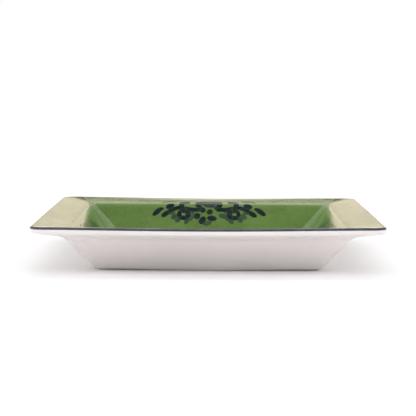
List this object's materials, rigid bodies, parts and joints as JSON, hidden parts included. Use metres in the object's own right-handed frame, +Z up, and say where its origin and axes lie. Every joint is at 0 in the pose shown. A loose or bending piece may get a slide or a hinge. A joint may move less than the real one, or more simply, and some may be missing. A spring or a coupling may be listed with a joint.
{
  "type": "square porcelain tray",
  "caption": "Square glazed porcelain tray with a wide flat flange, sloping walls, a green painted well with leaf sprays, pale flange panels and a dark painted lip line.",
  "frame": {"origin": "middle of the tray on the plane that the foot ring stands on", "axes": "+Z up out of the well, +X along the width to the right, -Y towards the front side"},
  "size_m": [0.2, 0.2, 0.0288],
  "materials": {
    "white_glaze": "glossy clear glaze over white porcelain",
    "biscuit": "unglazed ground porcelain",
    "green_ground": "glossy fired enamel",
    "cream_panel": "glossy fired enamel, faintly mottled",
    "sage_panel": "glossy fired enamel, faintly mottled",
    "navy_line": "glossy fired enamel line",
    "dark_transfer": "glossy fired transfer"
  },
  "bodies": {
    "root": {"corner_sprigs": "dark_transfer", "flange_panel_back": "sage_panel", "flange_panel_front": "sage_panel", "flange_panel_left": "cream_panel", "flange_panel_right": "cream_panel", "floor_spray": "dark_transfer", "foot_ring": "biscuit", "ground_back": "green_ground", "ground_floor": "green_ground", "ground_front": "green_ground", "ground_left": "green_ground", "ground_right": "green_ground", "porcelain_body": "white_glaze", "rim_line": "navy_line", "wall_spray_back": "dark_transfer", "wall_spray_front": "dark_transfer", "wall_spray_left": "dark_transfer", "wall_spray_right": "dark_transfer"}
  },
  "joints": []
}
